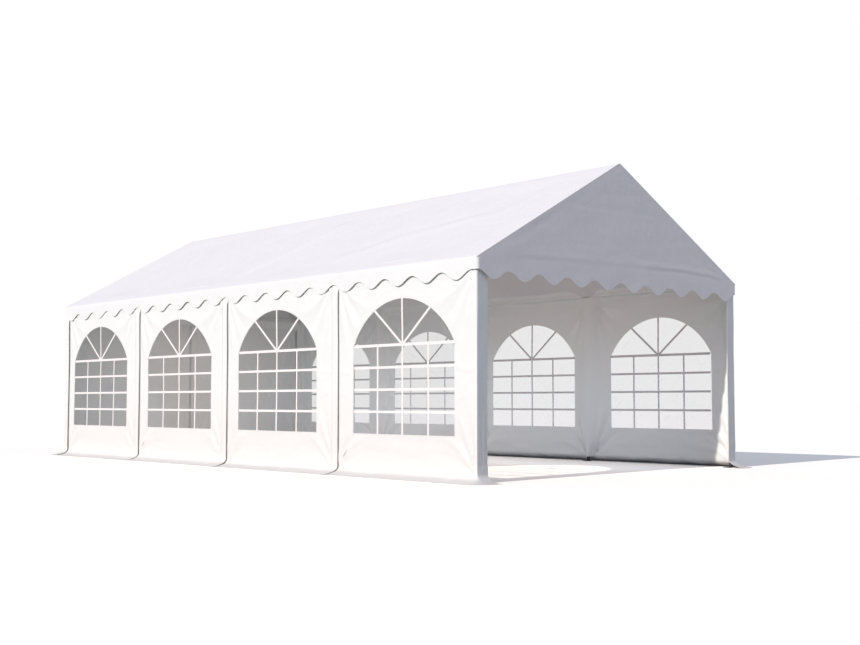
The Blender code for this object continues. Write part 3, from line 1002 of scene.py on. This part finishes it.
class RoofCloth:
    """Roof and side valances in one piece: s runs over the roof from left hem to right hem, y along Y."""

    # Creases of the taut cloth: points over the roof and along Y, width, height.
    CREASES = [([(-0.35, -0.42), (-0.55, -0.10), (-1.3, 0.02), (-2.05, 0.35)], 0.11, 0.010),
               ([(-0.9, -3.3), (-1.3, -2.2), (-1.9, -1.3)], 0.13, 0.008),
               ([(-0.5, 2.9), (-1.2, 2.3), (-2.0, 2.0)], 0.13, 0.008),
               ([(0.4, 0.6), (0.9, 0.05), (2.0, -0.2)], 0.15, 0.005),
               ([(0.6, 3.1), (1.1, 2.2), (1.9, 1.5)], 0.15, 0.004),
               ([(0.5, -2.9), (1.2, -2.1), (2.0, -1.9)], 0.15, 0.004)]

    def __init__(self):
        self.slope_run = RAFTER_LENGTH
        self.drop = EAVE_HEIGHT - SCALLOP_MIDDLE
        self.hem_s = self.slope_run + self.drop
        self.sag = bpy.context.scene.marquee_cloth.sag

    def relief(self, s, y):
        """The taut cloth dips and crumples between the rafters, and lies on them without sinking in."""
        away = np.abs(s)
        nearest = np.min([np.abs(y - rafter) for rafter in RAFTER_Y], axis=0)
        slope = between(0.05, 0.5, away) * (1 - between(self.slope_run - 0.45, self.slope_run - 0.03, away))
        height = -self.sag * slope * between(0.03, 0.85, nearest)
        loose = slope * np.where(s < 0, 1.0, 0.4)
        height += 0.007 * loose * crumple(s * 0.3, y + 0.15 * s, 0.35, 7)
        height += 0.003 * loose * crumple(s * 0.35, y + 0.1 * s, 0.12, 19)
        height += creases(s, y, self.CREASES)
        edge = 1 - between(COVER_Y - 0.12, COVER_Y - 0.01, np.abs(y))
        return np.maximum(height * edge, -0.0025 - self.sag * 1.6 * between(0.03, 0.3, nearest) * slope)

    def place(self, s, y, lift=0.0):
        s = np.asarray(s, float)
        y = np.asarray(y, float)
        side = np.sign(s)
        away = np.abs(s)
        over = np.minimum(away, self.slope_run)
        x = over * math.cos(PITCH)
        z = RIDGE_HEIGHT - over * math.sin(PITCH)
        # The ridge is rounded off, and beyond the eave the cloth hangs down to the scallops.
        round_off = np.clip(1 - over / RIDGE_ROUND, 0, 1)
        z = z - 0.5 * RIDGE_ROUND * math.sin(PITCH) * round_off ** 2
        hang = np.clip((away - self.slope_run) / self.drop, 0, 1)
        z = z - hang * (EAVE_HEIGHT - scallop(y - SCALLOP_SHIFT, COVER_Y))
        turned = between(self.slope_run - EAVE_ROUND, self.slope_run + EAVE_ROUND, away)
        lean = PITCH + (math.pi / 2 - PITCH) * turned
        corner = np.exp(-((away - self.slope_run) / EAVE_ROUND) ** 2)
        # The valance flutters, except near its ends.
        calm = 1 - between(COVER_Y - 0.35, COVER_Y - 0.06, np.abs(y))
        flutter = 0.005 * cloud(y, s * 0, (0.45, 1.0), 61 + (side > 0) * 5)
        flutter += 0.003 * cloud(y, s * 0, (0.17, 1.0), 67)
        push = self.relief(s, y) * (1 - turned) + calm * hang * flutter + lift
        # The valance's ends stop where the gables' valances wrap round the corners.
        tucked = COVER_Y - VALANCE_CORNER
        limit = COVER_Y + (tucked - COVER_Y) * between(0.0, 0.05, hang)
        y = np.where(np.abs(y) > tucked - 0.001, np.sign(y) * np.minimum(np.abs(y), limit), y)
        x = x - 0.0025 * corner * calm + push * np.sin(lean)
        z = z - 0.0015 * corner + push * np.cos(lean)
        return np.stack([side * x, y, z], axis=-1)


class MARQUEE_OT_roof(bpy.types.Operator):
    """Lay the roof cloth over the frame, with the scalloped valances along both eaves."""
    bl_idname = "marquee.roof"
    bl_label = "Lay roof"

    def execute(self, context):
        cloth = RoofCloth()
        marks = [-cloth.hem_s, -cloth.slope_run, 0, cloth.slope_run, cloth.hem_s]
        near = [cloth.slope_run + EAVE_ROUND * k for k in (-1.5, -1, -0.5, 0.5, 1, 1.5)]
        near += [RIDGE_ROUND / 2, RIDGE_ROUND]
        marks += near + [-mark for mark in near]
        tucked = COVER_Y - VALANCE_CORNER
        s_lines, y_lines = lines(marks, 0.045), lines([-COVER_Y, -tucked, 0, tucked, COVER_Y], 0.025)
        item = grid_sheet("roof_cloth_with_side_valances", cloth.place, s_lines, y_lines, finish_of("roof"))
        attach(item, "root")
        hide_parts("roof_cover", "left_valance", "right_valance")
        return {"FINISHED"}


class GableCloth:
    """A gable triangle and the valance under it in one piece, wrapped a little way round both corners."""

    # Creases of the gable: points across it and up it, width, height. The first two run along the eave.
    EAVE = [(-1.95, 2.03), (-1.5, 2.06), (-0.62, 2.08), (0.2, 2.09), (1.0, 2.10), (1.5, 2.08), (1.95, 2.03)]
    CREASES = [(EAVE, 0.035, 0.0018), (EAVE[3:], 0.03, 0.0018),
               ([(-1.0, 2.63), (-0.48, 2.60), (-0.06, 2.61), (0.82, 2.62)], 0.026, -0.0012),
               ([(-0.45, 2.34), (-0.06, 2.24), (0.17, 2.17), (0.55, 2.12)], 0.03, -0.0013),
               ([(-1.85, 2.08), (-1.52, 2.19), (-1.27, 2.31), (-0.9, 2.49)], 0.05, -0.0004),
               ([(-0.85, 2.23), (-0.38, 2.22), (0.1, 2.26)], 0.025, -0.0008),
               ([(0.5, 2.33), (1.0, 2.37), (1.4, 2.40)], 0.035, -0.0007),
               ([(1.05, 2.34), (1.46, 2.14), (1.93, 2.03)], 0.03, -0.0012),
               ([(-0.35, 2.76), (0.12, 2.76), (0.45, 2.82)], 0.03, -0.0007)]

    def __init__(self, end):
        y = end * COVER_Y
        near = end * (COVER_Y - VALANCE_CORNER - VALANCE_TUCK)
        x = end * COVER_X
        self.course = Course([(x, near), (x, y), (-x, y), (-x, near)], VALANCE_CORNER)
        self.middle = self.course.length / 2
        self.seed = 300 if end < 0 else 400

    def roof_limit(self, s):
        """Height where the cloth meets the roof."""
        u = np.minimum(np.abs(s), COVER_X)
        return roof_line(u) - (CLOTH + 0.0005) / math.cos(PITCH)

    def height(self, s, row):
        """Height of a mesh row: from -1 at the valance's hem, through 0 at the eave, to 1 at the roof."""
        eave = self.roof_limit(COVER_X)
        rise = np.where(row < 0, eave - SCALLOP_MIDDLE, self.roof_limit(s) - eave)
        return eave + row * rise

    def relief(self, s, v):
        """s is measured from the middle of the gable."""
        under = np.maximum(self.roof_limit(s) - v, 0)
        hold = between(0.0, 0.09, under)
        height = 0.0026 * crumple(s * 0.5, v, 0.38, self.seed)
        height += 0.0010 * crumple(s * 0.4, v, 0.10, self.seed + 5) + creases(s, v, self.CREASES)
        hanging = 1 - between(1.86, 2.0, v)
        flutter = 0.0018 * cloud(s, v * 0, (0.5, 1.0), self.seed + 9)
        flutter += 0.0008 * cloud(s, v * 0, (0.16, 1.0), self.seed + 13)
        return height * hold + hanging * flutter

    def place(self, s, row, lift=0.0):
        s = np.asarray(s, float)
        v = self.height(s, np.asarray(row, float))
        spot, out = self.course.at(s + self.middle)
        # Near its ends the cloth lies calm, and the wrapped ends tuck in behind the side valances.
        calm = 1 - between(COVER_X - 0.45, COVER_X - 0.03, np.abs(s))
        tucked = between(self.middle - VALANCE_TUCK, self.middle - 0.002, np.abs(s))
        push = self.relief(s, v) * calm - 1.5 * CLOTH * tucked + lift
        hang = np.clip((EAVE_HEIGHT - v) / (EAVE_HEIGHT - SCALLOP_MIDDLE), 0, 1)
        height = v + hang * (scallop(s, COVER_X) - SCALLOP_MIDDLE)
        return np.stack([spot[:, 0] + out[:, 0] * push, spot[:, 1] + out[:, 1] * push, height], axis=-1)


class MARQUEE_OT_gables(bpy.types.Operator):
    """Close both gables and hang their scalloped valances."""
    bl_idname = "marquee.gables"
    bl_label = "Hang gables"

    def execute(self, context):
        step = context.scene.marquee_cloth.grid
        for end, label in ((-1, "front"), (1, "rear")):
            cloth = GableCloth(end)
            half = cloth.course.length / 2
            turn = [mark for begin, run, *_, radius in cloth.course.runs if radius
                    for mark in np.linspace(begin, begin + run, 9) - cloth.middle]
            s_lines = lines([-half, 0, half] + turn, step)
            rows = np.concatenate([np.linspace(-1, 0, 8), np.linspace(0, 1, 45)[1:]])
            item = grid_sheet(f"{label}_gable_cloth", cloth.place, s_lines, rows, finish_of("gable"),
                              keep=lambda s, row: (row < 0) | (np.abs(s) < COVER_X - 0.004),
                              cut=lambda s, row, cloth=cloth: (s, cloth.height(s, row)))
            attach(item, "root")
            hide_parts(f"{label}_gable")
        return {"FINISHED"}


# A pocket lies just off the cloth and 1.5 mm off the tube, and reaches this far to both sides of it.
POCKET_GAP = 0.0012
POCKET_RADIUS = TUBE_RADIUS + 0.0015
POCKET_REACH = 0.24
POCKET_FOOT = 0.055
POCKET_HEAD = RAIL_HEIGHT - 0.02
# Each edge of a sleeve is sewn down between these distances from its corner.
SLEEVE_HEM = (0.08, 0.092)
# Far side of a tube that stands 4 mm off the cloth.
TUBE_FAR = 2 * TUBE_RADIUS + 0.004


def arc(centre, start, stop, count=9):
    """Points round a tube, between two angles in degrees."""
    turns = np.radians(np.linspace(start, stop, count))
    x, y = centre
    return [(x + POCKET_RADIUS * math.cos(turn), y + POCKET_RADIUS * math.sin(turn)) for turn in turns]


def pocket(name, section, start, end, across, inward, seed, back=None, gathered=False):
    """A cloth sleeve that holds a tube to the cloth behind it. section is (across, inward) points.

    back(u, v) is how far the cloth behind stands inward of its flat place, so that the sleeve lies on it.
    A gathered sleeve narrows at its start."""
    section = np.array(section)
    run = np.concatenate([[0], np.cumsum(np.linalg.norm(np.diff(section, axis=0), axis=1))])
    start, end = np.array(start, float), np.array(end, float)
    length = np.linalg.norm(end - start)
    along = (end - start) / length
    across, inward = np.array(across, float), np.array(inward, float)
    middle = run[-1] / 2

    def place(s, v, lift=0.0):
        u = np.interp(s, run, section[:, 0])
        h = np.interp(s, run, section[:, 1])
        if back:
            h = h + back(u, v) * between(0.03, 0.09, np.abs(u))
            u = u * (0.3 + 0.7 * between(0.0, 0.25, v)) if gathered else u
        else:
            free = np.clip(1 - np.abs(s - middle) / middle, 0, 1)
            h = h + 0.001 * free * (1 + cloud(s, v, (0.05, 0.22), seed)) * between(0.0, 0.012, h)
        return start + np.outer(v, along) + np.outer(u, across) + np.outer(h, inward)

    flip = np.dot(np.cross(across, along), inward) < 0
    v_lines = lines([0, length], 0.04)
    item = grid_sheet(name, place, run[::-1] if flip else run, v_lines, finish_of("wall"), 0.0008)
    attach(item, "root")


def flat_section(far, reach=POCKET_REACH, low=-POCKET_REACH):
    """Section of a pocket over a tube near a flat cloth: a wide, soft rise. far is the tube's far side."""
    u = np.linspace(low, reach, 25)
    rise = (far + 0.003 - POCKET_GAP) * (1 + np.cos(math.pi * u / np.where(u > 0, reach, -low))) / 2
    return list(zip(u, POCKET_GAP + rise))


def corner_section(centre, lean):
    """Section of a pocket over a tube that stands in a corner, measured from both walls.

    lean is how much the strip is turned inward."""
    gap = POCKET_GAP
    return ([(gap, u) for u in SLEEVE_HEM[::-1]] + arc(centre, 100, -10)
            + [(u, gap + 0.0008 + lean * u) for u in SLEEVE_HEM])


class MARQUEE_OT_pockets(bpy.types.Operator):
    """Sew the pole pockets that hold the tubes to the cloth, with the steel bare only at the joints."""
    bl_idname = "marquee.pockets"
    bl_label = "Sew pole pockets"

    def execute(self, context):
        wall_in, end_in = WALL_X - CLOTH, HALF_LENGTH - CLOTH
        far = wall_in - RAIL_X + TUBE_RADIUS
        foot, head = POCKET_FOOT, POCKET_HEAD
        for side, sign in SIDES.items():
            inward = (-sign, 0, 0)
            for number, y in enumerate(RAFTER_Y, 1):
                post = f"{side}_post_{number}"
                if number in (1, len(RAFTER_Y)):
                    end = math.copysign(1, y)
                    corner = (sign * wall_in, end * end_in)
                    centre = (wall_in - RAIL_X, end_in - abs(y))
                    lean = STRIP_TURN[side] / CORNER_STRIP[side] if number == 1 else 0.0
                    section = corner_section(centre, lean)
                    pocket(f"{post}_pocket", section, (*corner, foot), (*corner, head), inward,
                           (0, -end, 0), 500 + number)
                else:
                    pocket(f"{post}_pocket", flat_section(far), (sign * wall_in, y, foot),
                           (sign * wall_in, y, head), (0, 1, 0), inward, 520 + number,
                           back=lambda u, v, side=side, y=y: self.wall_back(side, y + u, foot + v),
                           gathered=True)
            self.rafters(side, sign)
            self.eave(side, sign)
        self.ridge()
        self.crossbar()
        return {"FINISHED"}

    def wall_back(self, side, y, height):
        """How far the wall panels at y stand inward of their flat place."""
        inner = np.full(np.shape(y), WALL_X + 0.05)
        for number, seam in enumerate(SEAMS, 1):
            cloth = all_walls()[f"{side}_wall_{number}"]
            x = SIDES[side] * WALL_X
            ends = [cloth.course.where(x, spot) for spot in (seam + 0.5, seam + 1.5)]
            s = ends[0] + (ends[1] - ends[0]) * (y - seam - 0.5)
            rear = (SEAMS + [HALF_LENGTH - UNDERLAP])[number] + UNDERLAP
            here = (y > seam) & (y < rear)
            inner = np.where(here, np.minimum(inner, np.abs(cloth.place(s, height)[:, 0])), inner)
        return WALL_X - inner

    def rafters(self, side, sign):
        """Sleeves under the rafters. Those at the ends are narrower, up to the gable."""
        roof = RoofCloth()
        along = np.array((-sign * math.cos(PITCH), 0, math.sin(PITCH)))
        down = np.array((-sign * math.sin(PITCH), 0, -math.cos(PITCH)))
        eave = np.array((sign * COVER_X, 0, EAVE_HEIGHT)) + down * CLOTH
        for number, y in enumerate(RAFTER_Y, 1):
            start = eave + along * 0.05 + np.array((0, y, 0))
            end = eave + along * (RAFTER_LENGTH - 0.03) + np.array((0, y, 0))
            room = COVER_Y - abs(y) - 0.008
            low = -room if number == 1 else -POCKET_REACH
            reach = room if number == len(RAFTER_Y) else POCKET_REACH
            pocket(f"{side}_rafter_{number}_pocket", flat_section(TUBE_FAR, reach, low),
                   start, end, (0, 1, 0), down, 540 + number,
                   back=lambda u, v, y=y: -roof.relief(sign * (RAFTER_LENGTH - 0.05 - v), y + u))

    def eave(self, side, sign):
        """Sleeve over the eave rail, from the wall to the underside of the roof. Its section is (x, z)."""
        gap = POCKET_GAP + CLOTH
        section = [(WALL_X - gap, RAIL_HEIGHT - 0.075), (WALL_X - gap, RAIL_HEIGHT - 0.06)]
        section += arc((RAIL_X, RAIL_HEIGHT), -40, -215, 13)
        section += [(x, roof_line(x) - gap / math.cos(PITCH)) for x in (RAIL_X - 0.06, RAIL_X - 0.075)]
        end = RAFTER_Y[-1]
        pocket(f"{side}_eave_pocket", section, (0, -end, 0), (0, end, 0), (sign, 0, 0), (0, 0, 1),
               560 + sign)

    def ridge(self):
        """Sleeve under the ridge tube, between both slopes. Its section is (x, z)."""
        gap = (POCKET_GAP + CLOTH) / math.cos(PITCH)
        wing = [(x, roof_line(x) - gap) for x in (-0.075, -0.062)]
        section = wing + arc((0.0, RIDGE_AXIS), -155, -25) + [(-x, z) for x, z in wing[::-1]]
        end = RAFTER_Y[-1]
        pocket("ridge_pocket", section, (0, -end, 0), (0, end, 0), (1, 0, 0), (0, 0, 1),
               571)

    def crossbar(self):
        """Sleeve over the crossbar on the rear wall, short enough above it to stay under the eave."""
        wall_in = HALF_LENGTH - CLOTH
        end = RAIL_X - 0.02
        pocket("crossbar_pocket", flat_section(TUBE_FAR, 0.05, -0.12),
               (-end, wall_in, CROSSBAR_HEIGHT), (end, wall_in, CROSSBAR_HEIGHT), (0, 0, 1), (0, -1, 0),
               573)


class MARQUEE_OT_thread(bpy.types.Operator):
    """Sew the stitched seams of the bands and the window frames."""
    bl_idname = "marquee.thread"
    bl_label = "Sew seams"

    def execute(self, context):
        for node, cloth in all_walls().items():
            paths = []
            for low, high in cloth.bands:
                for s in (low + STITCH_INSET, high - STITCH_INSET):
                    if 0 < s < cloth.course.length:
                        paths.append([(s, 0.09), (s, WALL_TOP - 0.01)])
            if cloth.window is not None:
                paths.append(self.frame_line(cloth))
            item = stitch_mesh(f"{node}_stitches", cloth.place, paths, finish_of("thread"))
            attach(item, "root")
        return {"FINISHED"}

    def frame_line(self, cloth, out=STITCH_INSET):
        """The stitch line round a window, outside its cut edge."""
        w = cloth.window
        radius = w["radius"] + out
        spread = math.asin((w["half"] + out) / radius)
        path = [(w["s"] - w["half"] - out, w["sill"] - out), (w["s"] + w["half"] + out, w["sill"] - out)]
        for turn in np.linspace(spread, -spread, 40):
            path.append((w["s"] + radius * math.sin(turn), w["centre"] + radius * math.cos(turn)))
        return path + path[:1]


class MARQUEE_OT_steel(bpy.types.Operator):
    """Finish the posts, rafters, rails and feet as galvanised steel."""
    bl_idname = "marquee.steel"
    bl_label = "Galvanise frame"

    def execute(self, context):
        steel = finish_of("steel")
        words = ("post", "rafter", "rail", "tube", "crossbar")
        for name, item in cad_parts.items():
            if any(word in name for word in words):
                for index in range(len(item.material_slots)):
                    item.material_slots[index].material = steel
        return {"FINISHED"}


class MARQUEE_OT_stage(bpy.types.Operator):
    """Lay the pale floor, light it softly and set the camera."""
    bl_idname = "marquee.stage"
    bl_label = "Set stage"

    def execute(self, context):
        settings = context.scene.marquee_stage
        self.floor(settings)
        self.sun(settings)
        self.inside(settings)
        self.sky(context.scene, settings)
        self.camera(context.scene)
        context.scene.view_settings.view_transform = "Standard"
        return {"FINISHED"}

    def floor(self, settings):
        """The floor: a white layer that the camera sees and a grey one that throws light back."""
        half = settings.floor_size / 2
        square = [(-half, -half, 0), (half, -half, 0), (half, half, 0), (-half, half, 0)]
        layers = (("studio_floor", -0.0004, (1.15, 1.12, 1.05)),
                  ("studio_bounce", -0.0008, (0.35, 0.35, 0.35)))
        for name, depth, colour in layers:
            material, tree, shader = new_material(f"matt_paper_{name}", {})
            tree.nodes.remove(shader)
            paper = add_node(tree, "ShaderNodeBsdfDiffuse", color=(*colour, 1.0))
            wire(tree, tree.nodes["Material Output"], {"Surface": paper.outputs[0]})
            layer = add_mesh(name, np.array(square), [(0, 1, 2, 3)], material)
            layer.location.z = depth
            seen = name == "studio_floor"
            layer.visible_camera = layer.visible_glossy = seen
            layer.visible_diffuse = layer.visible_shadow = not seen

    def sun(self, settings):
        light = bpy.data.lights.new("key_light", "SUN")
        light.energy = settings.key
        light.angle = math.radians(0.8)
        light.color = settings.key_colour
        lamp = link(bpy.data.objects.new("key_light", light))
        # The sun stands low at the left and a little to the front.
        lamp.rotation_euler = Vector((1.80, 0.155, -1.0)).to_track_quat("-Z", "Y").to_euler()
        lamp.location = (-9, -1, 6)

    def inside(self, settings):
        """Soft light inside the tent, where sun would come through the cloth and off the floor."""
        ceiling, rear, low = settings.ceiling_colour, settings.rear_colour, settings.low_colour
        # Name, power, colour, place, turn, width and length, and spread. Angles are in degrees.
        lamps = [
            ("ridge_front", settings.ceiling_front, ceiling, (0, -2.0, 2.3), (0, 0, 0), (1.8, 3.6), 180),
            ("ridge_rear", settings.ceiling_rear, rear, (0, 1.85, 2.3), (0, 0, 0), (2.6, 3.3), 125),
            ("facing_roof", settings.facing_roof, ceiling, (0, -0.5, 1.0), (180, 0, 0), (1.6, 6.4), 150),
            ("facing_floor", settings.facing_floor, low, (0.6, -2.1, 0.6), (0, 0, 0), (2.2, 3.6), 120),
            ("facing_right", settings.low, low, (0.2, 0.1, 0.5), (0, -90, 0), (0.5, 7.4), 110),
            ("facing_left", settings.low, low, (-0.2, 0.1, 0.5), (0, 90, 0), (0.5, 7.4), 110),
        ]
        for name, power, colour, place, turn, (width, length), spread in lamps:
            light = bpy.data.lights.new(name, "AREA")
            light.shape = "RECTANGLE"
            light.size = width
            light.size_y = length
            light.spread = math.radians(spread)
            light.energy = power
            light.color = colour
            lamp = link(bpy.data.objects.new(name, light))
            lamp.location = place
            lamp.rotation_euler = [math.radians(angle) for angle in turn]
            lamp.visible_camera = False
            lamp.visible_glossy = False

    def sky(self, scene, settings):
        world = bpy.data.worlds.new("studio")
        world.use_nodes = True
        tree = world.node_tree
        tree.nodes.clear()
        soft, plain = [add_node(tree, "ShaderNodeBackground", color=(*colour, 1.0)).outputs[0]
                       for colour in (settings.sky, WHITE)]
        seen = add_node(tree, "ShaderNodeLightPath").outputs["Is Camera Ray"]
        mix = add_node(tree, "ShaderNodeMixShader", {0: seen, 1: soft, 2: plain})
        add_node(tree, "ShaderNodeOutputWorld", {"Surface": mix.outputs[0]})
        scene.world = world

    def camera(self, scene):
        data = bpy.data.cameras.new("photo_camera")
        data.sensor_width = 36.0
        data.lens = CAMERA_FOCAL_PIXELS / PHOTO_WIDTH * data.sensor_width
        data.clip_end = 500.0
        camera = link(bpy.data.objects.new("photo_camera", data))
        camera.location = CAMERA_PLACE
        camera.rotation_euler = (math.pi / 2 + CAMERA_RISE, 0.0, -CAMERA_HEADING)
        scene.camera = camera


class MARQUEE_PT_panel(bpy.types.Panel):
    """Sizes, colours and making steps of the marquee."""
    bl_label = "Marquee Tent"
    bl_idname = "MARQUEE_PT_panel"
    bl_space_type = "VIEW_3D"
    bl_region_type = "UI"
    bl_category = "Marquee"

    def draw(self, context):
        for attribute in GROUPS:
            group = getattr(context.scene, attribute)
            box = self.layout.box()
            for name in group.__annotations__:
                box.prop(group, name)
        for step in STEPS:
            self.layout.operator(step.bl_idname)


STEPS = (MARQUEE_OT_walls, MARQUEE_OT_windows, MARQUEE_OT_roof, MARQUEE_OT_gables, MARQUEE_OT_pockets,
         MARQUEE_OT_thread, MARQUEE_OT_steel, MARQUEE_OT_stage)
GROUPS = {"marquee_cloth": ClothSettings, "marquee_window": WindowSettings, "marquee_stage": StageSettings}


def register():
    for group in GROUPS.values():
        bpy.utils.register_class(group)
    for name, group in GROUPS.items():
        setattr(bpy.types.Scene, name, PointerProperty(type=group))
    for step in STEPS:
        bpy.utils.register_class(step)
    bpy.utils.register_class(MARQUEE_PT_panel)


def unregister():
    bpy.utils.unregister_class(MARQUEE_PT_panel)
    for step in reversed(STEPS):
        bpy.utils.unregister_class(step)
    for name in GROUPS:
        delattr(bpy.types.Scene, name)
    for group in reversed(GROUPS.values()):
        bpy.utils.unregister_class(group)


def main():
    register()
    for step in STEPS:
        group, name = step.bl_idname.split(".")
        getattr(getattr(bpy.ops, group), name)()


if __name__ == "__main__":
    main()
